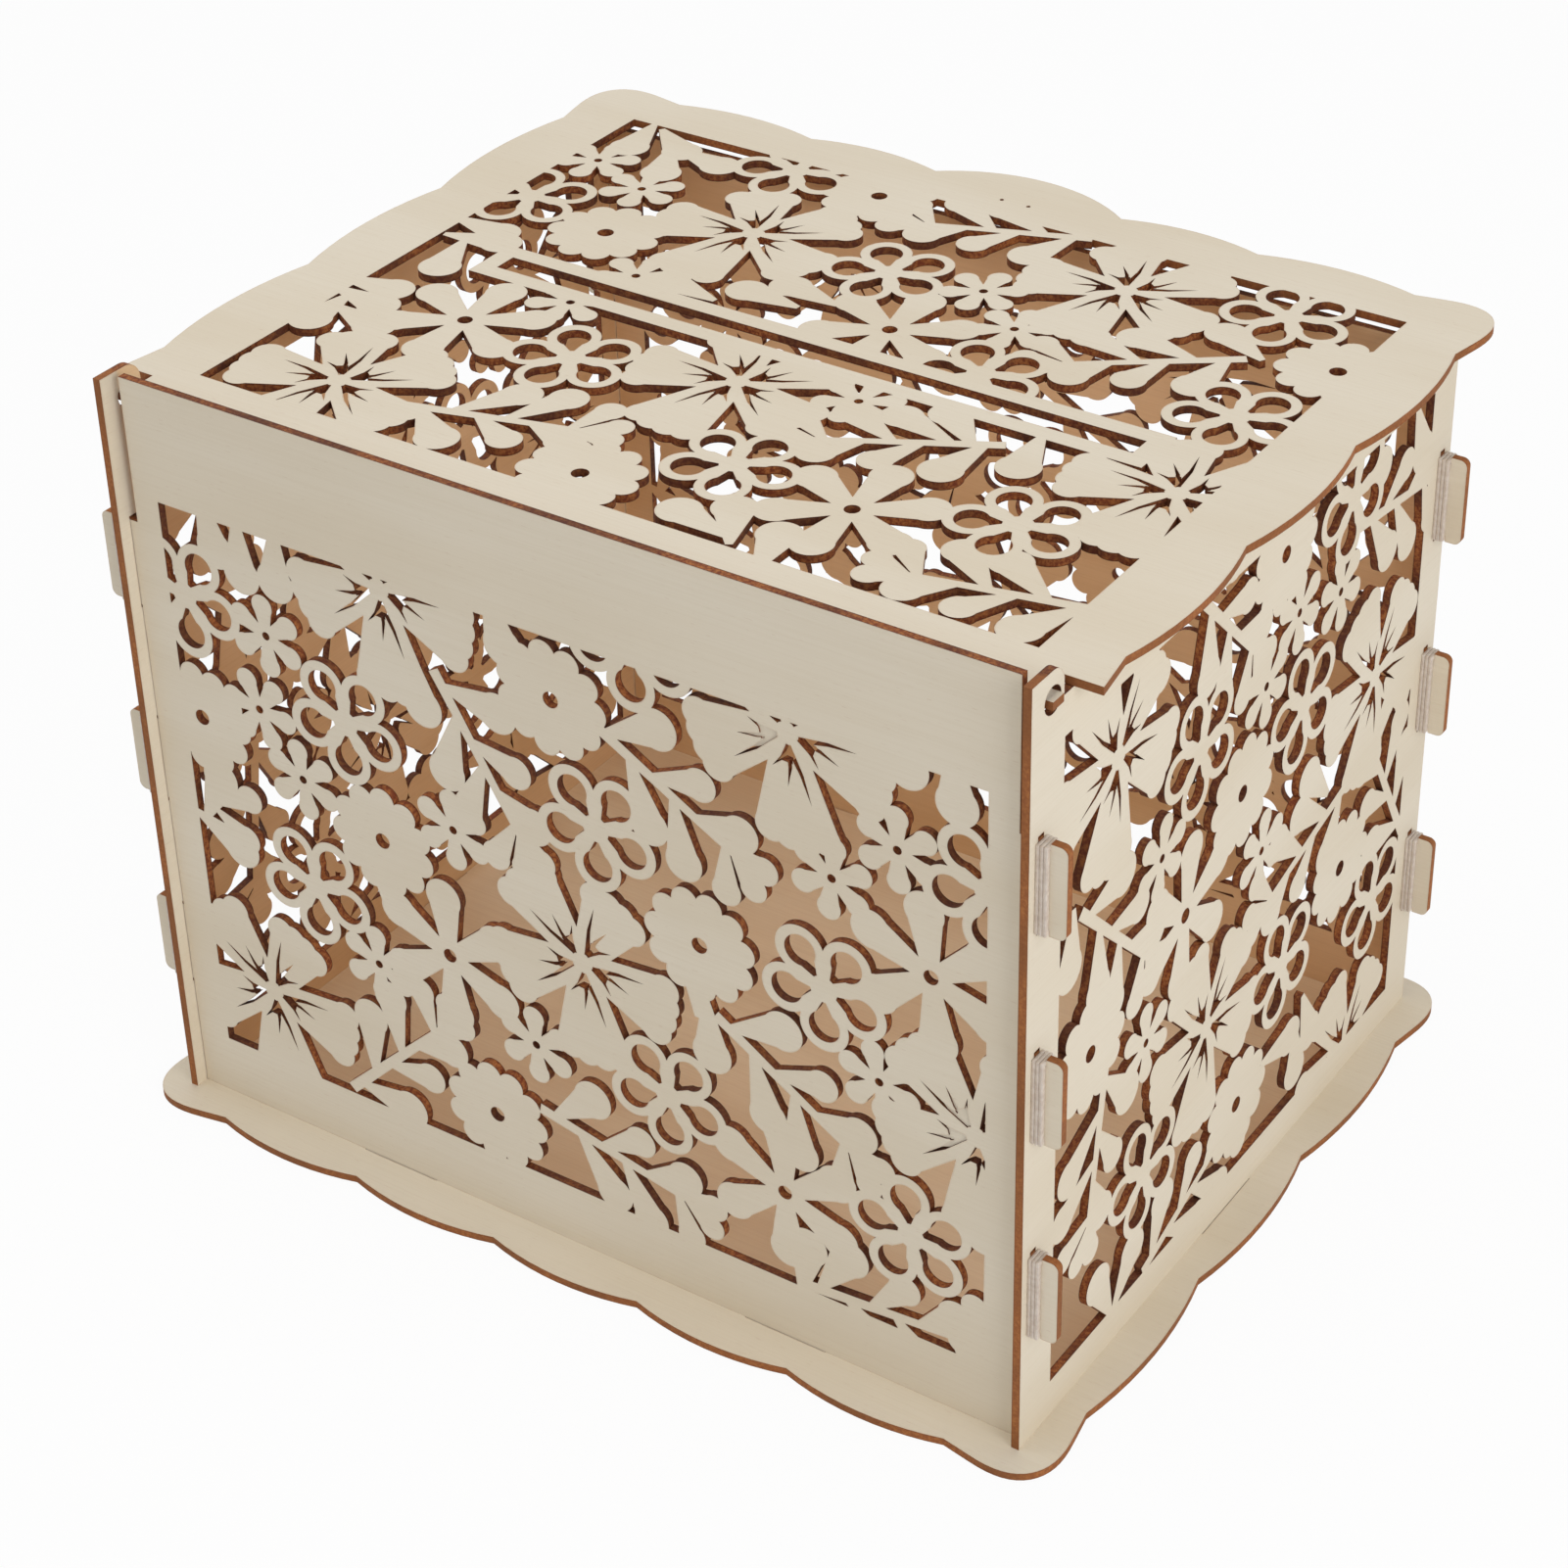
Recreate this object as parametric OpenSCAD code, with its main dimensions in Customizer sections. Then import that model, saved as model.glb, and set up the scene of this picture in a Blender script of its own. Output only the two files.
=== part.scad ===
// Wedding card box: pierced ply panels that interlock with through tabs, a lobed base plate,
// a lid with a card slot that turns on two flat pegs, and elastic bands that lock the tabs.
// Frame: origin at the middle of the base plate's underside, +X towards the right side panel,
// +Y towards the front wall (away from the lid's pegs), +Z up.

/* [Box] */
// Width over the two side panels
box_w = 300; // [296:1:304]
// Depth of the side panels
side_d = 240; // [238:1:244]
// Height of the side panels above the base plate
side_h = 237.5; // [236:0.5:240]
// Height of the ears and of the hinge wall above the side panels' tops
ear_rise = 10; // [8.5:0.5:11.5]
// Thickness of the ply
ply = 2.5; // [2.4:0.1:2.6]
// Distance of each wall's outer face from the ends of the side panels
wall_inset = 4.3; // [4:0.1:5]
// Distance of the front wall's top below the side panels' tops
front_drop = 2; // [1:0.5:3]
// Step in from the ears to the hinge wall's ends
ear_setback = 2.6; // [2.4:0.1:3]
// Space left around a tab in its slot, and between a wall's edge and a side panel
fit = 0.2; // [0.1:0.05:0.3]

/* [Side tabs] */
// Height of a tab that passes through a side panel
tab_h = 28; // [26:1:29]
// Length of the slot that the tab passes through
slot_h = 30; // [30:1:32]
// Height of the lowest tab's centre above the base plate
tab_first = 53.4; // [52:0.2:55]
// Distance from one tab to the next
tab_pitch = 67; // [66:0.5:68]
// Length of the neck between the side panel and the tab's head
neck_len = 3.5; // [3:0.1:4]
// Depth of the notch that the neck leaves at each end of the tab
neck_notch = 2; // [1.8:0.1:2.4]
// Length of the tab's head
head_len = 5; // [4.5:0.1:6]
// Radius of the head's outer corners
head_round = 2.2; // [1.5:0.1:2.2]
// Thickness of the elastic band around the neck
band_t = 1.6; // [1.2:0.1:1.8]

/* [Base plate] */
// Overhang of the cusps beyond the side panels
base_out_w = 8.4; // [7:0.2:10]
// Overhang of the cusps beyond the ends of the side panels
base_out_d = 7.1; // [6:0.1:8]
// Distance between neighbouring cusps on the hinge and front edges
base_pitch_w = 52; // [50:1:53]
// Distance between neighbouring cusps on the side edges
base_pitch_d = 65; // [62:1:66]
// Height of a lobe beyond the line of its cusps
base_lobe = 3.6; // [3:0.1:4]
// Reach of the corner lobes beyond the line of the cusps
corner_reach = 4.6; // [4:0.1:5]
// Width of a wall's bottom tab
wall_foot_w = 27; // [24:1:30]
// Distance of a wall's bottom tabs from the middle
wall_foot_x = 70; // [66:1:74]
// Width of a side panel's bottom tab
side_foot_w = 29; // [26:1:32]

/* [Lid] */
// Gap between the lid and the tops of the side panels
lid_gap = 0.3; // [0.2:0.05:0.4]
// Overhang of the lid's side cusps beyond the side panels
lid_out_w = 6.2; // [5:0.2:7]
// Overhang of the lid's front cusps beyond the ends of the side panels
lid_out_front = 10.6; // [10:0.1:12]
// Distance of the rearmost side cusp behind the middle of the box
lid_first_cusp = 85.3; // [84:0.1:87]
// Distance from one side cusp to the next
lid_pitch = 62.7; // [62:0.1:63.5]
// Distance from the middle to the front edge's inner cusps
front_cusp_in = 79.3; // [78:0.1:81]
// Distance from the middle to the front edge's outer cusps
front_cusp_out = 130.3; // [129:0.1:132]
// Distance of the lid's wings in front of the hinge axis
wing_gap = 9.8; // [9.5:0.1:11]
// Reach of a wing's tip beyond the side cusps
wing_out = 2.3; // [2:0.1:2.6]
// Height of a side or front lobe beyond the line of its cusps
lid_lobe = 3.8; // [3:0.1:4.2]
// Height of the broad lobe in the middle of the front edge
grip_lobe = 11; // [9:0.5:12]
// Half the width of that lobe
grip_half_w = 33; // [32:1:34]
// Width of the flat peg at each end of the hinge edge
peg_w = 5.2; // [5:0.1:5.4]
// Length of peg that stands out of the side panel
peg_out = 1.6; // [1:0.1:2.5]
// Diameter of the hole in the ear that the peg turns in
ear_hole_d = 8; // [8:0.1:8.4]
// Length of the ear along the side panel's top
ear_len = 15.5; // [15:0.1:16]
// Radius of the ear's rounded rear corner
ear_round = 5.5; // [5:0.1:5.5]
// Length of the card slot
card_slot_w = 214.6; // [200:1:220]
// Width of the card slot
card_slot_d = 7.7; // [7:0.1:9]
// Distance of the card slot from the middle of the box, towards the front
card_slot_y = 9; // [7:0.5:11]
// Width of the solid rims beside the card slot
card_rim = 6; // [5:0.5:7]
// Diameter of the pilot holes for a catch at the front edge
pilot_d = 1.3; // [1:0.1:1.6]
// Distance of the pilot holes from the middle
pilot_x = 4.7; // [4:0.1:5.4]
// Distance of the pilot holes from the lid's window
pilot_gap = 9.8; // [9:0.1:10.6]

/* [Cutwork] */
// Solid margin at the hinge end of the side panels' windows
side_margin = 16.4; // [15:0.2:18]
// Solid margin at the front end of the side panels' windows
side_margin_front = 14.4; // [13:0.2:16]
// Solid margin below and above the side panels' pierced windows
side_band = 12.5; // [12:0.5:13]
// Solid margin beside the walls' pierced windows
wall_margin = 11.6; // [11:0.2:13]
// Height of the lower edge of the walls' windows
wall_sill = 21; // [20:0.5:22]
// Height of the upper edge of the walls' windows
wall_lintel = 210.5; // [209:0.5:212]
// Solid margin inside the lid's side cusps
lid_margin = 20.2; // [20:0.2:22]
// Hinge-side edge of the lid's window, from the middle of the box
lid_window_back = -93; // [-94:0.5:-92]
// Solid margin inside the lid's front cusps
lid_margin_front = 17; // [15.5:0.5:18.5]

/* [Hidden] */

birch = [0.86, 0.82, 0.73];
elastic = [0.80, 0.72, 0.68];

wall_w = box_w - 2 * ply - 2 * fit;          // walls between the side panels
wall_y = side_d / 2 - wall_inset;            // outer faces of the walls
tab_z = [for (i = [0 : 2]) tab_first + i * tab_pitch];
foot_len = ply - 0.2;                        // bottom tabs stay clear of the table
ear_h = side_h + ear_rise;                   // the hinge wall is as high as the ears
base_half_w = box_w / 2 + base_out_w;
base_half_d = side_d / 2 + base_out_d;
lid_half_w = box_w / 2 + lid_out_w;
lid_front = side_d / 2 + lid_out_front;
lid_window_front = lid_front - lid_margin_front;

lap = 1;                                      // lobes and tabs run this far into their plate
seat = 0.06;                                  // plates stop this far inside the lobes' cusps
peg_half_diag = norm([peg_w, ply]) / 2;
axis_y = -wall_y + ply + peg_half_diag + 0.3; // the peg's corners just clear the hinge wall
lid_z = ply + side_h + lid_gap;
axis_z = lid_z + ply / 2;
wing_y = axis_y + wing_gap;                   // the wings clear the ears as the lid turns
wing_half_w = lid_half_w + wing_out;
lid_neck_half_w = box_w / 2 - ply - 0.4;      // the hinge edge runs between the ears
lid_cusps = [for (i = [0 : 3]) i * lid_pitch - lid_first_cusp];
front_cusps = [grip_half_w, front_cusp_in, front_cusp_out];

// ---- Motifs, drawn flat: outlines first, then what is cut out of them ----

module ring(count, turn) {
    for (i = [0 : count - 1])
        rotate(turn + i * 360 / count)
            children();
}

// A petal or leaf along +X: sides that spread from a base base_w wide to a round tip
module petal(len, wid, base_w = 2) {
    tip_x = len - wid / 2;
    polygon([[0, -base_w / 2], [tip_x, -0.48 * wid], [tip_x, 0.48 * wid], [0, base_w / 2]]);
    translate([tip_x, 0])
        circle(d = wid, $fn = 40);
}

// Axis angle and length of each hibiscus petal
hibiscus_petals = [[61, 30], [131, 33], [203, 33], [275, 36], [348, 33]];
// Angle off the petal's axis, and length, of the slits in each petal
hibiscus_slits = [[20, 17.5], [-4, 12.5], [-36, 9]];
ruffle_r = 5;
ruffle_step = 10.5;

module hibiscus() {
    circle(r = 6, $fn = 32);
    for (p = hibiscus_petals)
        rotate(p[0]) {
            reach = p[1] - ruffle_r;
            edge = 1.5 * ruffle_step + 9;
            polygon([[0, -4], reach * [cos(edge), -sin(edge)], reach * [cos(edge), sin(edge)],
                     [0, 4]]);
            for (i = [-1.5 : 1.5])
                rotate(i * ruffle_step)
                    translate([reach, 0])
                        circle(r = ruffle_r, $fn = 32);
        }
}

module hibiscus_openings() {
    for (p = hibiscus_petals)
        rotate(p[0])
            translate([4, 0]) {
                for (slit = hibiscus_slits)
                    rotate(slit[0])
                        polygon([[-0.3, -0.9], [slit[1] * 0.5, -0.2], [slit[1], -0.6],
                                 [slit[1] * 0.5, 0.9], [-0.3, 0.9]]);
                rotate(-8)
                    polygon([[-0.5, -0.7], [4.9, -2], [4.9, 1.6], [-0.5, 0.7]]);
            }
}

module loop_flower() {
    circle(r = 5, $fn = 32);
    ring(5, 54)
        petal(20.4, 15.6, 5);
}

module loop_flower_openings() {
    ring(5, 54)
        translate([4.3, 0])
            petal(13, 9.8, 1.2);
}

module plain_flower(r, petal_w) {
    circle(r = r * 0.24, $fn = 32);
    ring(6, 92)
        petal(r, petal_w, petal_w * 0.35);
}

module rosette(r) {
    circle(r = r * 0.8, $fn = 48);
    ring(11, 0)
        translate([r * 0.76, 0])
            circle(r = r * 0.24, $fn = 32);
}

// Distance along the stem, angle, length and width of each leaf of a sprig
sprig_leaves = [[0, 52, 25, 13], [9, -44, 27, 12.5], [17, 40, 21, 10.5], [25, -52, 26, 12],
                [33, 28, 20, 12], [43, 12, 18, 9], [44, -60, 19, 9.5], [47, -26, 15, 8.5]];

module sprig() {
    polygon([[-6, -1.9], [48, -1.3], [48, 1.3], [-6, 1.9]]);
    for (l = sprig_leaves)
        translate([l[0] - 1, 0])
            rotate(l[1])
                petal(l[2] + 0.4, l[3]);
}

module motif(kind) {
    if (kind == "hibiscus") hibiscus();
    if (kind == "loop") loop_flower();
    if (kind == "small") plain_flower(13.4, 7.4);
    if (kind == "medium") plain_flower(26.4, 12.4);
    if (kind == "rosette") rosette(18.3);
    if (kind == "sprig") sprig();
    if (kind == "leaf") petal(25.4, 13);
    if (kind == "leaflet") petal(17.4, 9.4);
}

module motif_openings(kind) {
    if (kind == "hibiscus") hibiscus_openings();
    if (kind == "loop") loop_flower_openings();
    if (kind == "small") circle(d = 2.6, $fn = 24);
    if (kind == "medium") circle(d = 4.5, $fn = 24);
    if (kind == "rosette") circle(d = 5, $fn = 24);
}

// Draws children once for each row of a layout, turned over first where the row ends in "flip"
module place(layout) {
    for (row = layout) {
        $kind = row[0];
        translate([row[1], row[2]])
            rotate(row[3])
                mirror([0, row[4] == "flip" ? 1 : 0])
                    children();
    }
}

// A plate of the outline drawn by children, pierced inside its window by all but a layout's motifs
module pierced(window_min, window_max, layout) {
    linear_extrude(ply)
        difference() {
            children();
            difference() {
                translate(window_min)
                    square(window_max - window_min);
                place(layout)
                    motif($kind);
            }
            intersection() {
                translate(window_min)
                    square(window_max - window_min);
                place(layout)
                    motif_openings($kind);
            }
        }
}

// ---- Layouts: kind, place across and up (or back) from the panel's middle line, turn ----

wall_layout = [
    ["hibiscus", -57, 207, 0], ["hibiscus", 76, 207, 0], ["hibiscus", 5, 106, 0],
    ["hibiscus", -114, 48, 0], ["hibiscus", 133, 100, 0],
    ["loop", -74, 158, 0], ["loop", 12.6, 154, 0], ["loop", 85.6, 129.4, 0], ["loop", -92, 95, 0],
    ["loop", 32.6, 70.6, 0], ["loop", 112.6, 56.4, -28], ["loop", -130, 182, 4],
    ["loop", 136, 180, 0], ["loop", 27, 217, 0],
    ["small", -100.4, 178, 0], ["small", -106.2, 151.6, 20], ["small", -92.4, 132.4, 4],
    ["small", -37.8, 135, 0], ["small", 109, 183, 0], ["small", 88.8, 166.6, -8],
    ["small", -70.5, 75.4, 0], ["small", -13.6, 69.4, 0], ["small", 102.8, 105.6, 10],
    ["medium", -43, 89.4, 0], ["medium", 119, 146.8, 4], ["medium", 71.4, 53.2, 0],
    ["rosette", 0, 191, 0], ["rosette", -64.4, 121.4, 20], ["rosette", 45.6, 128, 10],
    ["rosette", -30.2, 36.8, 0], ["rosette", -129.2, 141, 0], ["rosette", 142, 30, 0],
    ["sprig", 18, 186, -30], ["sprig", 55, 103, -33], ["sprig", -8, 45, -12],
    ["sprig", -82, 27, 45, "flip"], ["sprig", -37, 182, -60], ["sprig", 83, 23, 5],
    ["leaf", 44, 103, 90], ["leaf", -64, 94, 92], ["leaf", 47, 111, -86], ["leaf", -48, 192, -80], ["leaf", -120, 220, -78],
    ["leaf", -107, 215, -90], ["leaf", -93, 216, -95], ["leaf", 112, 228, -90],
    ["leaf", 125, 222, -85], ["leaf", 137, 86, -95], ["leaf", -20, 221, -75],
    ["leaf", -137, 106, -25], ["leaf", -133, 104, 65], ["leaflet", -128, 109, -32],
    ["leaflet", -126, 112, 25], ["leaf", 76, 18, 82]];

side_layout = [
    ["hibiscus", -76, 203, -14], ["hibiscus", 79, 144, -14], ["hibiscus", -19, 79.4, -14],
    ["hibiscus", 76, 9, -14],
    ["loop", -30, 179.4, -12], ["loop", 32, 159.4, -20], ["loop", 56, 215, -12],
    ["loop", 28, 71.4, -15], ["loop", 89, 58, -12], ["loop", -53, 50.6, -15],
    ["small", -50, 156.4, -12], ["small", 7, 179.4, 0], ["small", 25, 193.6, 0],
    ["small", 51, 187, 6], ["small", 10, 123, -10], ["small", -55, 98, 0],
    ["rosette", 14.5, 217.4, 0], ["rosette", -4, 150.6, 15], ["rosette", -86, 115, 0],
    ["rosette", 64, 84.4, 0], ["rosette", 3, 36.6, 0],
    ["medium", -35, 128.4, -8],
    ["sprig", -89, 161, -45], ["sprig", -34, 228, -45], ["sprig", 60, 113, 195],
    ["sprig", 60, 203, -8], ["sprig", 104, 78, 120], ["sprig", -78, 100, 262],
    ["sprig", -46, 15, 20],
    ["leaf", -97, 169, -95], ["leaf", 52, 118, 135], ["leaf", -69.7, 11, 115],
    ["leaf", -69, 11, 55], ["leaf", 18, 41, -5], ["leaf", 44, 50, -70], ["leaf", 40, 42, -85],
    ["leaf", 94, 226, -70]];

lid_layout = [
    ["hibiscus", -56, 64, 178, "flip"], ["hibiscus", 58, 89, 178, "flip"],
    ["hibiscus", -6, -17, 178, "flip"], ["hibiscus", -101, -75, 178, "flip"],
    ["hibiscus", 128, -8, 178, "flip"],
    ["loop", -7, 63, 0], ["loop", 106, 99, 0], ["loop", 121, 38, 8], ["loop", -54, -30, -4],
    ["loop", 20, -56, 20], ["loop", 101, -44, 0], ["loop", -129, 50, -12],
    ["loop", -70, 108, 0], ["loop", 49, 23, 0],
    ["small", -127, 82, 0], ["small", -103, 72, 10], ["small", 23, 67, 0], ["small", 43, 51, 0],
    ["small", -69, 22, 0], ["small", 29, -9, 0], ["small", -75, -2, 0],
    ["rosette", -38, 106, 0], ["rosette", -94, 41, 0], ["rosette", 133, 76, 0],
    ["rosette", -12, -82, 0],
    ["medium", 13, 32, 0], ["medium", -94, -27, 0], ["medium", 60, -60, 0],
    ["sprig", -71, -75, 15, "flip"], ["sprig", 71, -12, 208], ["sprig", 103, 66, 215],
    ["sprig", 27, 112, 200], ["sprig", 135, -71, 192],
    ["leaf", 69, -14, 140], ["leaf", 82, 1, -80], ["leaf", 112, 71, 150], ["leaf", -8, 37, 170],
    ["leaf", -17, 30, 176], ["leaf", -40, 21, 170], ["leaf", -127, 15, -75],
    ["leaf", -135, 15, 12], ["leaf", -140, 26, -5], ["leaf", -143, -24, 5],
    ["leaf", -140, -30, -8], ["leaf", -133, -31, -88], ["leaf", -132, -39, -15],
    ["leaf", -128, 114, -80], ["leaf", -111, 102, -10], ["leaf", -124, 112, -35],
    ["leaf", -113, 102, -65], ["leaf", 40, -89, 165], ["leaf", 56, -99, 105],
    ["leaf", 43, -92, 120]];

// ---- Plate outlines ----

// A shallow lobe between two cusps half_span either side of the origin, bulging along +Y
module lobe(half_span, height) {
    lobe_r = (half_span * half_span + height * height) / (2 * height);
    intersection() {
        translate([0, height - lobe_r])
            circle(r = lobe_r, $fn = 240);
        translate([-half_span - lap, -lap])
            square([2 * half_span + 2 * lap, height + lap]);
    }
}

// A full corner lobe between cusps that lie run_x and run_y short of the origin
module corner_lobe(run_x, run_y, reach) {
    polygon(concat(
        [[-run_x - lap, -run_y - lap]],
        [for (t = [0 : 5 : 90])
            let (out = reach * pow(sin(2 * t), 0.6))
            [run_x * (pow(cos(t), 0.5) - 1) + out * cos(t) - seat / 2,
             run_y * (pow(sin(t), 0.5) - 1) + out * sin(t) - seat / 2]]));
}

module base_outline() {
    cusps_x = 2.5 * base_pitch_w;
    cusps_y = 1.5 * base_pitch_d;
    square([2 * cusps_x, 2 * (base_half_d - seat)], center = true);
    square([2 * (base_half_w - seat), 2 * cusps_y], center = true);
    for (side = [0, 180])
        rotate(side) {
            for (i = [-2 : 2])
                translate([i * base_pitch_w, base_half_d])
                    lobe(base_pitch_w / 2, base_lobe);
            for (i = [-1 : 1])
                translate([base_half_w, i * base_pitch_d])
                    rotate(-90)
                        lobe(base_pitch_d / 2, base_lobe);
        }
    for (turn = [0 : 3])
        rotate(turn * 90)
            if (turn % 2 == 0)
                translate([base_half_w, base_half_d])
                    corner_lobe(base_half_w - cusps_x, base_half_d - cusps_y, corner_reach);
            else
                translate([base_half_d, base_half_w])
                    corner_lobe(base_half_d - cusps_y, base_half_w - cusps_x, corner_reach);
}

module slot(w, h) {
    square([w + 2 * fit, h + 2 * fit], center = true);
}

module base_plate() {
    color(birch)
        linear_extrude(ply)
            difference() {
                base_outline();
                for (x = [-wall_foot_x, wall_foot_x], y = [-1, 1])
                    translate([x, y * (wall_y - ply / 2)])
                        slot(wall_foot_w, ply);
                for (x = [-1, 1])
                    translate([x * (box_w - ply) / 2, 0])
                        slot(ply, side_foot_w);
            }
}

module side_outline() {
    difference() {
        union() {
            translate([-side_d / 2, 0])
                square([side_d, side_h]);
            translate([-side_d / 2, side_h - ear_round])
                square([ear_len - ear_round, ear_h - side_h + ear_round]);
            translate([-side_d / 2, side_h - ear_round])
                square([ear_len, ear_h - side_h]);
            translate([ear_len - side_d / 2 - ear_round, ear_h - ear_round])
                circle(r = ear_round, $fn = 48);
            translate([-side_foot_w / 2, -foot_len])
                square([side_foot_w, foot_len + 1]);
        }
        for (z = tab_z, y = [-1, 1])
            translate([y * (wall_y - ply / 2), z])
                square([ply + 2 * fit, slot_h], center = true);
    }
}

module side_panel() {
    color(birch)
        difference() {
            rotate([90, 0, 90])
                pierced([-side_d / 2 + side_margin, side_band],
                        [side_d / 2 - side_margin_front, side_h - side_band], side_layout)
                    side_outline();
            translate([-1, axis_y, axis_z - ply])
                rotate([0, 90, 0])
                    cylinder(d = ear_hole_d, h = ply + 2, $fn = 64);
        }
}

module right_side() {
    translate([box_w / 2 - ply, 0, ply])
        side_panel();
}

module left_side() {
    translate([-box_w / 2, 0, ply])
        side_panel();
}

// A through tab at a wall's right-hand edge: neck, then a head with rounded outer corners
module through_tab() {
    head_x = ply + fit + neck_len;
    translate([-lap, -tab_h / 2])
        square([ply + fit + lap, tab_h]);
    translate([-lap, -tab_h / 2 + neck_notch])
        square([head_x + 2 * lap, tab_h - 2 * neck_notch]);
    translate([head_x, -tab_h / 2])
        square([head_len - head_round, tab_h]);
    translate([head_x, -tab_h / 2 + head_round])
        square([head_len, tab_h - 2 * head_round]);
    for (end = [-1, 1])
        translate([head_x + head_len - head_round, end * (tab_h / 2 - head_round)])
            circle(r = head_round, $fn = 48);
}

// A wall of height h: edge tabs, bottom tabs, and the top step_in narrower above the tabs
module wall_outline(h, step_in) {
    shoulder_z = tab_z[2] + tab_h / 2;
    translate([-wall_w / 2, 0])
        square([wall_w, shoulder_z]);
    translate([-wall_w / 2 + step_in, 0])
        square([wall_w - 2 * step_in, h]);
    for (x = [-wall_foot_x, wall_foot_x])
        translate([x - wall_foot_w / 2, -foot_len])
            square([wall_foot_w, foot_len + 1]);
    for (mx = [0, 1], z = tab_z)
        mirror([mx, 0])
            translate([wall_w / 2, z])
                through_tab();
}

module wall(h, step_in) {
    color(birch)
        rotate([90, 0, 0])
            pierced([-wall_w / 2 + wall_margin, wall_sill],
                    [wall_w / 2 - wall_margin, wall_lintel], wall_layout)
                wall_outline(h, step_in);
}

module hinge_wall() {
    translate([0, ply - wall_y, ply])
        wall(ear_h, ear_setback);
}

module front_wall() {
    translate([0, wall_y - ply, ply])
        mirror([0, 1, 0])
            wall(side_h - front_drop, 0);
}

module lid_outline() {
    hinge_y = axis_y - peg_w / 2;
    // Plate between the ears, wings over the side panels, and the pegs
    translate([-lid_neck_half_w, hinge_y])
        square([2 * lid_neck_half_w, lid_cusps[3] - hinge_y]);
    translate([-box_w / 2 - peg_out, hinge_y])
        square([box_w + 2 * peg_out, peg_w]);
    plate_x = lid_half_w - seat;
    plate_y = lid_front - seat;
    polygon([[-lid_neck_half_w, wing_y], [-wing_half_w, wing_y], [-plate_x, lid_cusps[0]],
             [-plate_x, lid_cusps[3]], [-front_cusps[2], plate_y], [front_cusps[2], plate_y],
             [plate_x, lid_cusps[3]], [plate_x, lid_cusps[0]], [wing_half_w, wing_y],
             [lid_neck_half_w, wing_y]]);
    for (side = [-1, 1]) {
        for (i = [0 : 2])
            translate([side * lid_half_w, (lid_cusps[i] + lid_cusps[i + 1]) / 2])
                rotate(-90 * side)
                    lobe((lid_cusps[i + 1] - lid_cusps[i]) / 2, lid_lobe);
        for (i = [0 : 1])
            translate([side * (front_cusps[i] + front_cusps[i + 1]) / 2, lid_front])
                lobe((front_cusps[i + 1] - front_cusps[i]) / 2, lid_lobe);
    }
    translate([lid_half_w, lid_front])
        corner_lobe(lid_half_w - front_cusps[2], lid_front - lid_cusps[3], corner_reach);
    translate([-lid_half_w, lid_front])
        rotate(90)
            corner_lobe(lid_front - lid_cusps[3], lid_half_w - front_cusps[2], corner_reach);
    translate([0, lid_front])
        lobe(grip_half_w, grip_lobe);
}

module lid() {
    window_x = lid_half_w - lid_margin;
    color(birch)
        translate([0, 0, lid_z])
            difference() {
                union() {
                    pierced([-window_x, lid_window_back], [window_x, lid_window_front], lid_layout)
                        lid_outline();
                    translate([-card_slot_w / 2 - card_rim, card_slot_y - card_slot_d / 2 - card_rim])
                        cube([card_slot_w + 2 * card_rim, card_slot_d + 2 * card_rim, ply]);
                }
                translate([-card_slot_w / 2, card_slot_y - card_slot_d / 2, -1])
                    cube([card_slot_w, card_slot_d, ply + 2]);
                for (x = [-pilot_x, pilot_x])
                    translate([x, lid_window_front + pilot_gap, -1])
                        cylinder(d = pilot_d, h = ply + 2, $fn = 24);
            }
}

// An elastic band stretched around the neck of a tab, seated against the side panel
module band(side, front, z) {
    neck_h = tab_h - 2 * neck_notch;
    color(elastic)
        translate([side * (box_w / 2 + neck_len / 2), front * (wall_y - ply / 2), ply + z])
            rotate([90, 0, 90])
                linear_extrude(neck_len, center = true)
                    difference() {
                        union() {
                            square([ply + 2 * band_t, neck_h], center = true);
                            for (end = [-1, 1])
                                translate([0, end * neck_h / 2])
                                    circle(d = ply + 2 * band_t, $fn = 32);
                        }
                        square([ply, neck_h], center = true);
                    }
}

module band_1() { band(-1, -1, tab_z[0]); }
module band_2() { band(-1, -1, tab_z[1]); }
module band_3() { band(-1, -1, tab_z[2]); }
module band_4() { band(1, -1, tab_z[0]); }
module band_5() { band(1, -1, tab_z[1]); }
module band_6() { band(1, -1, tab_z[2]); }
module band_7() { band(-1, 1, tab_z[0]); }
module band_8() { band(-1, 1, tab_z[1]); }
module band_9() { band(-1, 1, tab_z[2]); }
module band_10() { band(1, 1, tab_z[0]); }
module band_11() { band(1, 1, tab_z[1]); }
module band_12() { band(1, 1, tab_z[2]); }

base_plate();
left_side();
right_side();
hinge_wall();
front_wall();
lid();
band_1();
band_2();
band_3();
band_4();
band_5();
band_6();
band_7();
band_8();
band_9();
band_10();
band_11();
band_12();
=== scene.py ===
"""Wedding card box: pale pierced ply panels with laser-browned edges, on a lobed base.

The panels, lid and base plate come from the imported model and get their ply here. The elastic
bands round the corner tabs, the waste left standing in a few slits of the hinge wall, the floor,
the lamps and the camera are made here too.
"""

import math

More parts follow.
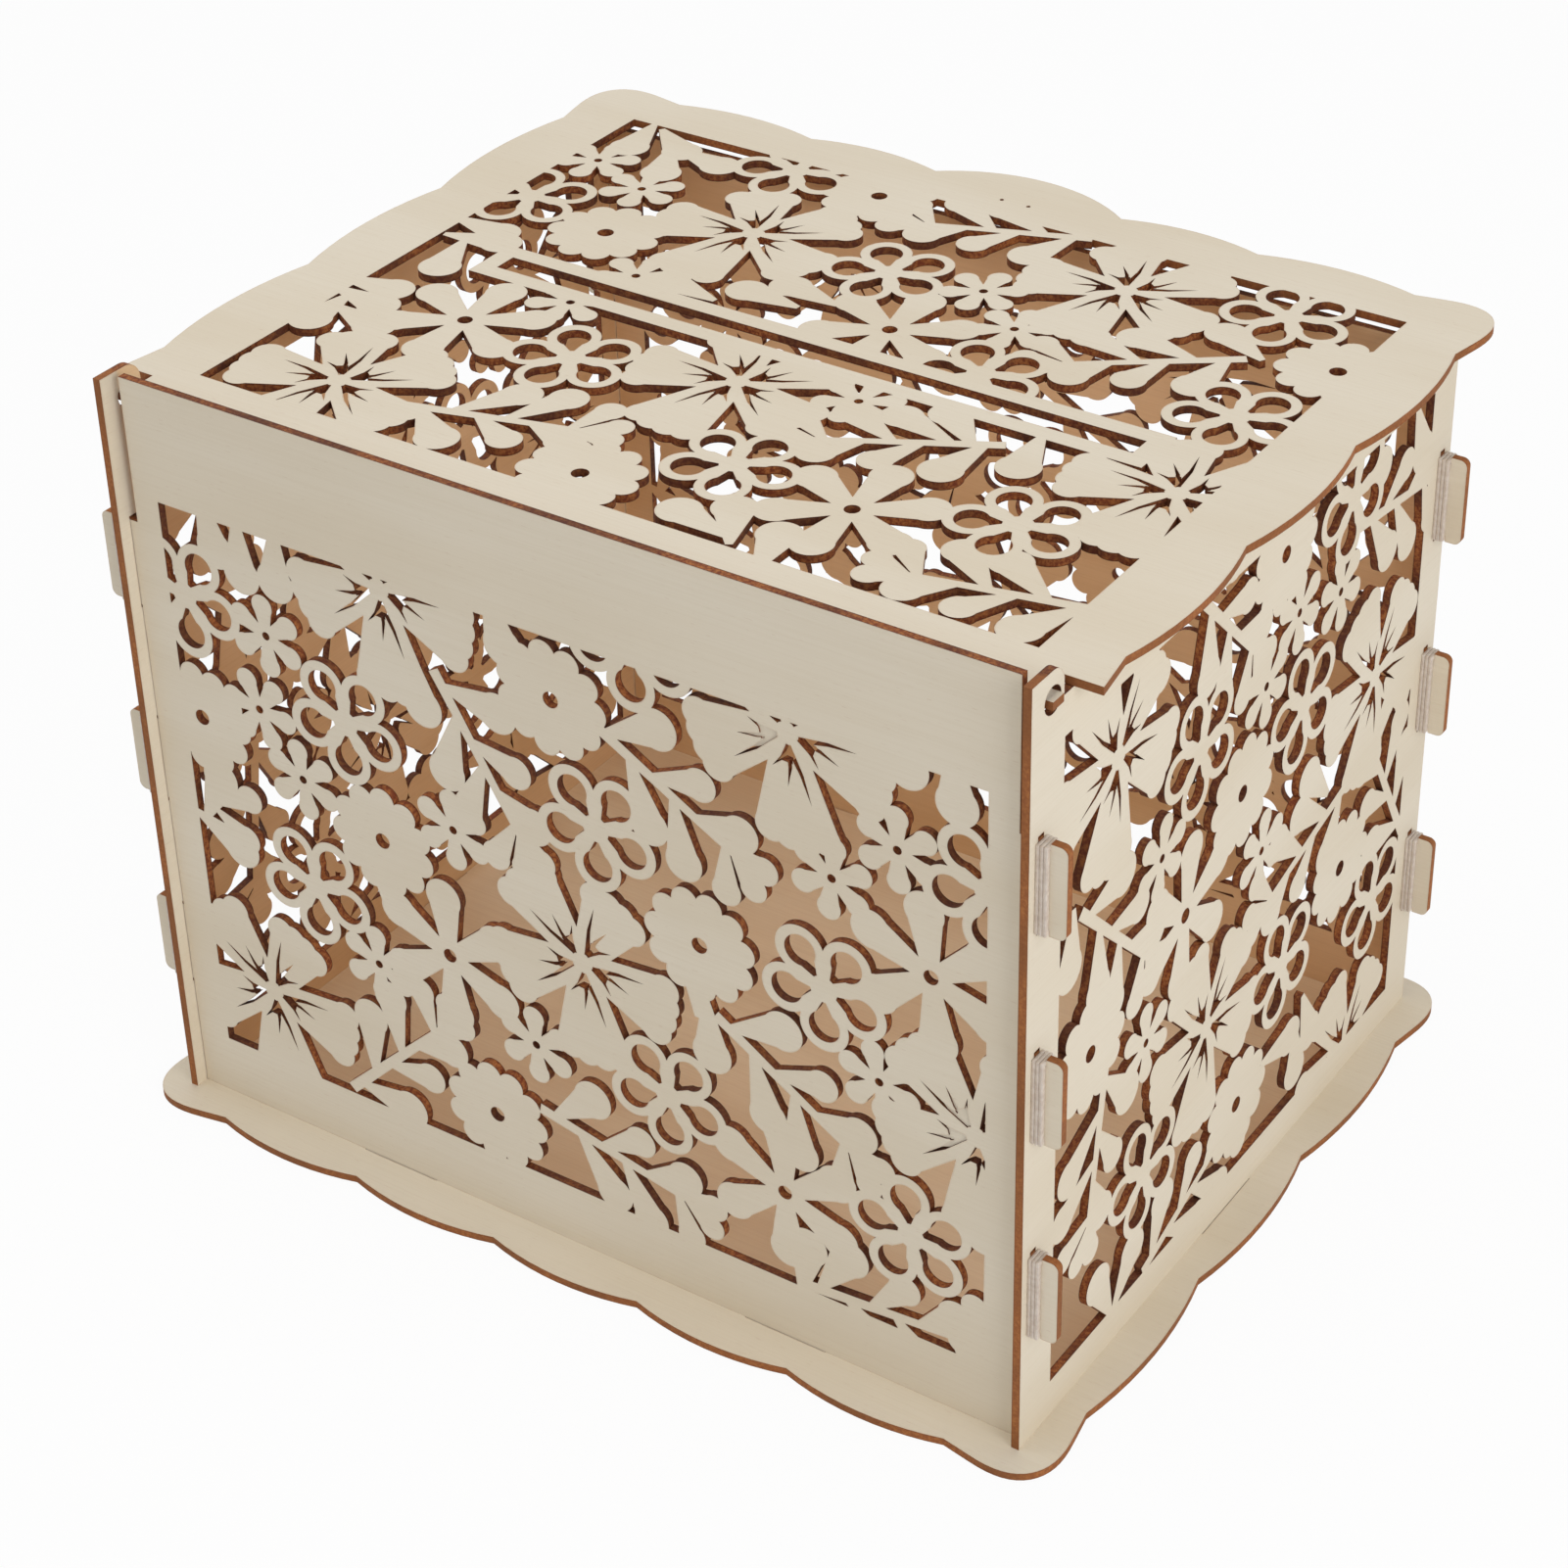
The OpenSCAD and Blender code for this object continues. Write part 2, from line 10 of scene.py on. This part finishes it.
import bpy
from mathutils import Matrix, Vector


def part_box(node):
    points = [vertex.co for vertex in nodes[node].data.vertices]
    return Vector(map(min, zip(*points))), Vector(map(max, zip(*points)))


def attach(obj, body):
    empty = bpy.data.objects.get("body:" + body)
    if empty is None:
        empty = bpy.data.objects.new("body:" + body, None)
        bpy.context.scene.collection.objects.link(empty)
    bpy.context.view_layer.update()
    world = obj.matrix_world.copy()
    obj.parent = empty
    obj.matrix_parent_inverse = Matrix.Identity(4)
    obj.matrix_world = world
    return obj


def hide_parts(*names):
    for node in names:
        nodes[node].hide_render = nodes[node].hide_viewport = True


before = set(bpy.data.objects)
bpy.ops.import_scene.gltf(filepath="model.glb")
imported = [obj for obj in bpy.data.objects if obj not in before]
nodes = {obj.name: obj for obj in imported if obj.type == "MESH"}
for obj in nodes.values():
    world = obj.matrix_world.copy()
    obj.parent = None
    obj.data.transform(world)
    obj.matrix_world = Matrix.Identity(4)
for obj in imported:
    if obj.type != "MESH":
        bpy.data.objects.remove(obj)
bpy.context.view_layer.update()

MM = 0.001
X, Y, Z = 0, 1, 2
PLY = 2.5 * MM
BAND_COUNT = 12

# Half the width and depth of the room between the side panels and between the walls
ROOM = (
    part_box("right_side")[0][X],
    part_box("front_wall")[0][Y],
)


def tone(r, g, b):
    """A paint-chart colour, 0 to 255, as the linear light the shader works in."""
    return tuple(
        c / 12.92 if c <= 0.04045 else ((c + 0.055) / 1.055) ** 2.4
        for c in (r / 255, g / 255, b / 255)
    ) + (1.0,)


# Veneer, scorch and edge tones of the birch ply
CREAM = tone(227, 214, 191)
CREAM_LIGHT = tone(233, 222, 202)
CREAM_DEEP = tone(217, 201, 174)
# Painted shade and warm bounce light: the deeper tan of the faces inside the box
INNER_PAINTED_SHADE = tone(234, 202, 162)
INNER_PAINTED_SHADE_DEEP = tone(220, 184, 140)
# Painted shade and warm bounce light on the base plate's top inside the walls
BOX_FLOOR_PAINTED_SHADE = tone(238, 219, 188)
BOX_FLOOR_PAINTED_SHADE_DEEP = tone(228, 204, 170)
SCORCH = tone(176, 128, 82)
CHAR = tone(48, 14, 4)
BROWNED = tone(114, 48, 14)
AMBER = tone(177, 111, 56)
RUBBER = tone(238, 226, 214)
RUBBER_DUSTY = tone(222, 206, 192)
PAPER = (0.9, 0.9, 0.9, 1)

# Grain patterns, as repeats to the metre along the grain and across it
FIBRES = (22, 1500)
CLOUDS = (7, 26)
PORES = (240, 2600)

# How strongly each mark covers the tone under it, from 0 to 1
FIBRES_SHOW = 0.22
INNER_FIBRES_SHOW = 0.12
PORES_SHOW = 0.18
HALO_FAINT, HALO_STRONG = 0.10, 0.42
BURN_SHOWS = 0.7
RIM_CHARRED = 0.75
# Painted light: how much paler the cut edges are on the rims outside the box
OUTER_RIM_PAINTED_LIGHT = 0.45

# Limits between which a blend runs: how squarely a surface faces across the sheet, and noise
SQUARE_ON = (0.6, 0.8)
MIDDLING = (0.3, 0.7)

# Reach of the scorch beside a cut, and depth of the veneer's relief
HALO_REACH = 1.1 * MM
RELIEF = 0.12 * MM


class Shader:
    """A node material built by short calls, each returning an output socket."""

    def __init__(self, name):
        self.material = bpy.data.materials.new(name)
        self.material.use_nodes = True
        self.tree = self.material.node_tree
        self.tree.nodes.clear()
        self.surface = self.add("ShaderNodeBsdfPrincipled")
        self.output = self.add("ShaderNodeOutputMaterial")
        self.join(self.surface.outputs["BSDF"], self.output.inputs["Surface"])
        self.coord = self.add("ShaderNodeTexCoord")

    def add(self, kind, **settings):
        node = self.tree.nodes.new(kind)
        for key, value in settings.items():
            setattr(node, key, value)
        return node

    def join(self, source, target):
        if hasattr(source, "node"):
            self.tree.links.new(source, target)
        else:
            target.default_value = source

    def math(self, operation, a, b=0.0):
        node = self.add("ShaderNodeMath", operation=operation)
        for socket, value in zip(node.inputs, (a, b)):
            self.join(value, socket)
        return node.outputs["Value"]

    def mix(self, amount, a, b):
        node = self.add("ShaderNodeMix", data_type="RGBA")
        self.join(amount, node.inputs["Factor"])
        for socket in node.inputs:
            if socket.type == "RGBA":
                self.join(a if socket.name == "A" else b, socket)
        return [socket for socket in node.outputs if socket.type == "RGBA"][0]

    def noise(self, scale, stretch=(1, 1, 1), detail=2.0, roughness=0.5, shift=(0, 0, 0)):
        mapping = self.add("ShaderNodeMapping")
        self.join(self.coord.outputs["Object"], mapping.inputs["Vector"])
        mapping.inputs["Location"].default_value = shift
        mapping.inputs["Scale"].default_value = stretch
        node = self.add("ShaderNodeTexNoise")
        self.join(mapping.outputs["Vector"], node.inputs["Vector"])
        node.inputs["Scale"].default_value = scale
        node.inputs["Detail"].default_value = detail
        node.inputs["Roughness"].default_value = roughness
        return node.outputs["Fac"]

    def range(self, value, low, high, to_low=0.0, to_high=1.0):
        node = self.add("ShaderNodeMapRange", clamp=True, interpolation_type="SMOOTHSTEP")
        self.join(value, node.inputs["Value"])
        node.inputs["From Min"].default_value = low
        node.inputs["From Max"].default_value = high
        node.inputs["To Min"].default_value = to_low
        node.inputs["To Max"].default_value = to_high
        return node.outputs["Result"]

    def part(self, vector, axis):
        node = self.add("ShaderNodeSeparateXYZ")
        self.join(vector, node.inputs["Vector"])
        return node.outputs[axis]


def stretched(grain, along, across):
    """Scale that draws a pattern out along the grain."""
    return tuple(along if axis == grain else across for axis in (X, Y, Z))


def pierced_ply(name, through, grain, middle, outside, shift, indoor_painted_shade=(INNER_PAINTED_SHADE, INNER_PAINTED_SHADE_DEEP)):
    """Sanded birch veneer on both faces, laser-browned core on every cut edge.

    through is the axis across the sheet, middle the sheet's mid-plane on it, and outside the
    sign of the side that shows on the closed box. Faces inside the box are a deeper tan, which
    is painted shade and warm bounce light, and cut edges on the rims outside the box are painted
    paler as if lit.
    """
    ply = Shader(name)
    place = ply.coord.outputs["Object"]
    facing = ply.part(ply.coord.outputs["Normal"], through)
    veneer = ply.range(ply.math("ABSOLUTE", facing), *SQUARE_ON)
    # Mask of the faces inside the box, which take the painted shade
    painted_shade_mask = ply.range(ply.math("MULTIPLY", facing, -float(outside)), *SQUARE_ON)

    # 1 between the walls and side panels, 0 on the rims outside them
    indoors = 1.0
    for axis in (X, Y):
        if axis != through:
            reach = ply.math("ABSOLUTE", ply.part(place, axis))
            near = ply.range(reach, ROOM[axis] - MM, ROOM[axis] + MM, 1.0, 0.0)
            indoors = ply.math("MULTIPLY", indoors, near)
    painted_shade_mask = ply.math("MULTIPLY", painted_shade_mask, indoors)

    # Veneer: long faint fibres, soft clouds and short dark pores
    fibres = ply.noise(1.0, stretched(grain, *FIBRES), detail=4, roughness=0.6, shift=shift)
    clouds = ply.noise(1.0, stretched(grain, *CLOUDS), detail=2, shift=shift)
    pores = ply.noise(1.0, stretched(grain, *PORES), detail=1, shift=shift)
    sheen = ply.mix(ply.range(clouds, *MIDDLING), CREAM, CREAM_LIGHT)
    sheen = ply.mix(ply.range(fibres, 0.35, 0.75, 0.0, FIBRES_SHOW), sheen, CREAM_DEEP)
    sheen = ply.mix(ply.range(pores, 0.70, 0.78, 0.0, PORES_SHOW), sheen, SCORCH)
    # Faces inside the box: a deeper tan that paints in their shade and warm bounce light
    shaded_back_face = ply.mix(ply.range(clouds, *MIDDLING), *indoor_painted_shade)
    shaded_back_face = ply.mix(ply.range(fibres, 0.35, 0.75, 0.0, INNER_FIBRES_SHOW), shaded_back_face, SCORCH)
    face = ply.mix(painted_shade_mask, sheen, shaded_back_face)

    # Scorch that fades away from each cut
    bevel = ply.add("ShaderNodeBevel", samples=6)
    bevel.inputs["Radius"].default_value = HALO_REACH
    shape = ply.add("ShaderNodeNewGeometry")
    bend = ply.add("ShaderNodeVectorMath", operation="DOT_PRODUCT")
    ply.join(bevel.outputs["Normal"], bend.inputs[0])
    ply.join(shape.outputs["Normal"], bend.inputs[1])
    near_cut = ply.range(bend.outputs["Value"], 0.78, 0.995, 1.0, 0.0)
    smoke = ply.noise(140, detail=2, shift=shift)
    strength = ply.range(smoke, *MIDDLING, HALO_FAINT, HALO_STRONG)
    halo = ply.math("MULTIPLY", near_cut, strength)
    face = ply.mix(halo, face, SCORCH)

    # Cut edge: charred at both faces, amber where the core shows
    height = ply.part(place, through)
    depth = ply.math("ABSOLUTE", ply.math("SUBTRACT", height, middle))
    rim = ply.range(depth, 0.62 * PLY / 2, 0.98 * PLY / 2)
    speckle = ply.noise(900, detail=3, roughness=0.65, shift=shift)
    burn = ply.noise(45, detail=2, shift=shift)
    core = ply.mix(ply.range(speckle, 0.35, 0.7), BROWNED, AMBER)
    core = ply.mix(ply.range(burn, 0.35, 0.65, 0.0, BURN_SHOWS), core, CHAR)
    edge = ply.mix(ply.math("MULTIPLY", rim, RIM_CHARRED), core, CHAR)
    # Painted light: cut edges on the rims outside the box are paler, as if lit, while those
    # inside stay in shade
    lit_outer_rims = ply.math("SUBTRACT", 1.0, indoors)
    edge = ply.mix(ply.math("MULTIPLY", lit_outer_rims, OUTER_RIM_PAINTED_LIGHT), edge, AMBER)

    ply.join(ply.mix(veneer, edge, face), ply.surface.inputs["Base Color"])
    ply.join(ply.range(veneer, 0, 1, 0.82, 0.6), ply.surface.inputs["Roughness"])
    grit = ply.mix(veneer, speckle, fibres)
    bump = ply.add("ShaderNodeBump")
    bump.inputs["Strength"].default_value = 0.25
    bump.inputs["Distance"].default_value = RELIEF
    ply.join(grit, bump.inputs["Height"])
    ply.join(bump.outputs["Normal"], ply.surface.inputs["Normal"])
    return ply.material


def finish_with(piece, material):
    piece.data.materials.clear()
    piece.data.materials.append(material)


def mid(node, axis):
    low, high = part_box(node)
    return (low[axis] + high[axis]) / 2


# The base plate's top inside the walls takes its own painted shade and bounce light
box_floor_painted_shade = (BOX_FLOOR_PAINTED_SHADE, BOX_FLOOR_PAINTED_SHADE_DEEP)
base_birch = pierced_ply("base_birch", Z, X, PLY / 2, -1, (1, 2, 3), box_floor_painted_shade)
finish_with(nodes["base_plate"], base_birch)
finish_with(nodes["lid"], pierced_ply("lid_birch", Z, X, mid("lid", Z), 1, (4, 1, 2)))
for side, outside, shift in (("left_side", -1, (3, 5, 1)), ("right_side", 1, (2, 7, 4))):
    finish_with(nodes[side], pierced_ply(side + "_birch", X, Y, mid(side, X), outside, shift))
for wall, outside, shift in (("hinge_wall", -1, (6, 2, 5)), ("front_wall", 1, (8, 4, 7))):
    finish_with(nodes[wall], pierced_ply(wall + "_birch", Y, X, mid(wall, Y), outside, shift))


# ---- Waste that never dropped out of the hinge wall's blooms ----


def uncut_waste(name, bloom, turn):
    """A slab of waste still sitting in one petal's slits, sunk a hair below the wall's face.

    bloom is the middle of the flower on the wall, in millimetres from the box's middle and from
    the base plate, and turn the way its petal points, in degrees.
    """
    root, tip = 3.0 * MM, 21.5 * MM
    width = 6.4 * MM
    sunk = 0.45 * MM
    bpy.ops.object.select_all(action="DESELECT")
    bpy.ops.mesh.primitive_cube_add(
        size=1, location=((root + tip) / 2, 0, 0), scale=(tip - root, PLY - 2 * sunk, width)
    )
    waste = bpy.context.object
    bpy.ops.object.transform_apply(location=True, rotation=True, scale=True)
    waste.rotation_euler = (0, -math.radians(turn), 0)
    waste.location = (bloom[0] * MM, mid("hinge_wall", Y), bloom[1] * MM + PLY)
    bpy.ops.object.transform_apply(location=True, rotation=True, scale=True)
    waste.name = name
    waste.data.name = name
    finish_with(waste, nodes["hinge_wall"].data.materials[0])
    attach(waste, "box")


uncut_waste("uncut_waste_1", (76, 207), 203)
uncut_waste("uncut_waste_2", (133, 100), 203)
uncut_waste("uncut_waste_3", (133, 100), 131)


# ---- Elastic bands: three turns of clear rubber round the neck of each tab ----

bpy.context.tool_settings.mesh_select_mode = (False, False, True)


def clear_rubber():
    rubber = Shader("clear_rubber")
    dust = rubber.noise(600, detail=3)
    tint = rubber.mix(rubber.range(dust, *MIDDLING), RUBBER, RUBBER_DUSTY)
    rubber.join(tint, rubber.surface.inputs["Base Color"])
    rubber.join(rubber.range(dust, *MIDDLING, 0.28, 0.42), rubber.surface.inputs["Roughness"])
    rubber.surface.inputs["Transmission Weight"].default_value = 0.2
    rubber.surface.inputs["IOR"].default_value = 1.45
    return rubber.material


def band_turns(name, low, high, material):
    """Three rounded turns of rubber, pulled tight round the neck inside the band's box."""
    turns = 3
    wall = 1.55 * MM
    edge_radius = 0.3 * MM
    filled = 0.99
    size = high - low
    size[Z] -= PLY
    width = size[X] / turns
    middle = (low + high) / 2
    pieces = []
    for i in range(turns):
        centre = Vector((low[X] + (i + 0.5) * width, middle[Y], middle[Z]))
        bpy.ops.object.select_all(action="DESELECT")
        bpy.ops.mesh.primitive_cube_add(
            size=1, location=centre, scale=(width * filled, size[Y], size[Z])
        )
        turn = bpy.context.object
        bpy.ops.object.transform_apply(location=True, rotation=True, scale=True)
        bpy.ops.object.mode_set(mode="EDIT")
        bpy.ops.mesh.select_all(action="DESELECT")
        bpy.ops.object.mode_set(mode="OBJECT")
        for face in turn.data.polygons:
            face.select = abs(face.normal[X]) > 0.9
        bpy.ops.object.mode_set(mode="EDIT")
        bpy.ops.mesh.inset(thickness=wall)
        bpy.ops.mesh.bridge_edge_loops()
        bpy.ops.mesh.select_all(action="SELECT")
        bpy.ops.mesh.bevel(offset=edge_radius, segments=3, affect="EDGES")
        bpy.ops.mesh.normals_make_consistent(inside=False)
        bpy.ops.object.mode_set(mode="OBJECT")
        pieces.append(turn)
    bpy.ops.object.select_all(action="DESELECT")
    for turn in pieces:
        turn.select_set(True)
    bpy.context.view_layer.objects.active = pieces[0]
    bpy.ops.object.join()
    band = bpy.context.object
    bpy.ops.object.shade_smooth_by_angle(angle=math.radians(50))
    band.name = name
    band.data.name = name
    finish_with(band, material)
    return band


rubber = clear_rubber()
for i in range(1, BAND_COUNT + 1):
    low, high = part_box(f"band_{i}")
    band = band_turns(f"rubber_band_{i}", low, high, rubber)
    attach(band, "box")
    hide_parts(f"band_{i}")


# ---- Floor, backdrop, lamps and camera ----

FLOOR_SIZE = 8
FLOOR_DROP = 0.0003
FLOOR_GLOW = 0.94
TENT_FILL = 0.43
TENT_SEEN = 1.0
WHITE = (1, 1, 1, 1)
BOX_MIDDLE = Vector((0, 0, 0.12))

# Each soft box: its name, its place, its side in metres and its power in watts
SOFT_BOXES = (
    ("top_box", (-0.25, 0.0, 1.6), 1.2, 7.6),
    ("right_box", (1.45, -0.55, 0.75), 1.0, 9.4),
    ("left_box", (-1.2, -1.1, 0.9), 1.2, 1.0),
)


def studio_floor():
    """A white sheet that glows for the camera, so that it runs into the white backdrop."""
    bpy.ops.object.select_all(action="DESELECT")
    bpy.ops.mesh.primitive_plane_add(size=FLOOR_SIZE, location=(0, 0, -FLOOR_DROP))
    floor = bpy.context.object
    bpy.ops.object.transform_apply(location=True, rotation=True, scale=True)
    floor.name = "studio_floor"
    paper = Shader("white_paper")
    paper.surface.inputs["Base Color"].default_value = PAPER
    paper.surface.inputs["Roughness"].default_value = 0.9
    glow = paper.add("ShaderNodeEmission")
    seen = paper.add("ShaderNodeLightPath")
    blend = paper.add("ShaderNodeMixShader")
    rays = paper.math("MAXIMUM", seen.outputs["Is Camera Ray"], seen.outputs["Is Glossy Ray"])
    rays = paper.math("MAXIMUM", rays, seen.outputs["Is Transmission Ray"])
    paper.join(paper.math("MULTIPLY", rays, FLOOR_GLOW), blend.inputs["Fac"])
    paper.join(paper.surface.outputs["BSDF"], blend.inputs[1])
    paper.join(glow.outputs["Emission"], blend.inputs[2])
    paper.join(blend.outputs["Shader"], paper.output.inputs["Surface"])
    finish_with(floor, paper.material)


def soft_light(name, place, size, power):
    """A square soft box that faces the middle of the card box."""
    data = bpy.data.lights.new(name, "AREA")
    data.shape = "SQUARE"
    data.size = size
    data.energy = power
    lamp = bpy.data.objects.new(name, data)
    bpy.context.scene.collection.objects.link(lamp)
    lamp.location = place
    aim = BOX_MIDDLE - Vector(place)
    lamp.rotation_euler = aim.to_track_quat("-Z", "Y").to_euler()


def inner_glow():
    """A faint, slightly warm pane under the lid that lifts the shade inside the box."""
    data = bpy.data.lights.new("inner_pane", "AREA")
    data.shape = "RECTANGLE"
    data.size = 0.24
    data.size_y = 0.18
    data.energy = 0.09
    data.color = (1.0, 0.94, 0.9)
    lamp = bpy.data.objects.new("inner_pane", data)
    bpy.context.scene.collection.objects.link(lamp)
    lamp.location = (0, 0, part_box("lid")[0][Z] - 5 * MM)
    lamp.visible_camera = False


def daylight_tent():
    """White all round: full white where it is seen or mirrored, dimmer where it lights."""
    world = bpy.data.worlds.new("white_tent")
    bpy.context.scene.world = world
    world.use_nodes = True
    tree = world.node_tree
    tree.nodes.clear()
    fill = tree.nodes.new("ShaderNodeBackground")
    fill.inputs["Color"].default_value = WHITE
    fill.inputs["Strength"].default_value = TENT_FILL
    white = tree.nodes.new("ShaderNodeBackground")
    white.inputs["Color"].default_value = WHITE
    white.inputs["Strength"].default_value = TENT_SEEN
    rays = tree.nodes.new("ShaderNodeLightPath")
    direct = tree.nodes.new("ShaderNodeMath")
    direct.operation = "MAXIMUM"
    tree.links.new(rays.outputs["Is Camera Ray"], direct.inputs[0])
    tree.links.new(rays.outputs["Is Glossy Ray"], direct.inputs[1])
    seen = tree.nodes.new("ShaderNodeMath")
    seen.operation = "MAXIMUM"
    tree.links.new(direct.outputs[0], seen.inputs[0])
    tree.links.new(rays.outputs["Is Transmission Ray"], seen.inputs[1])
    blend = tree.nodes.new("ShaderNodeMixShader")
    tree.links.new(seen.outputs[0], blend.inputs["Fac"])
    tree.links.new(fill.outputs["Background"], blend.inputs[1])
    tree.links.new(white.outputs["Background"], blend.inputs[2])
    out = tree.nodes.new("ShaderNodeOutputWorld")
    tree.links.new(blend.outputs["Shader"], out.inputs["Surface"])


def viewpoint():
    """The camera, above the hinge wall's right-hand corner."""
    data = bpy.data.cameras.new("camera")
    camera = bpy.data.objects.new("camera", data)
    bpy.context.scene.collection.objects.link(camera)
    bpy.context.scene.camera = camera
    camera.location = (0.5116, -0.7445, 0.7119)
    camera.rotation_euler = [math.radians(a) for a in (57.36, 0.4668, 32.6748)]
    data.sensor_fit = "HORIZONTAL"
    data.sensor_width = 36
    data.lens = 82.9574
    data.shift_x = -0.06
    data.shift_y = -0.06
    data.clip_start = 0.01
    data.clip_end = 50


studio_floor()
daylight_tent()
for soft_box in SOFT_BOXES:
    soft_light(*soft_box)
inner_glow()
viewpoint()
bpy.context.scene.view_settings.view_transform = "Standard"
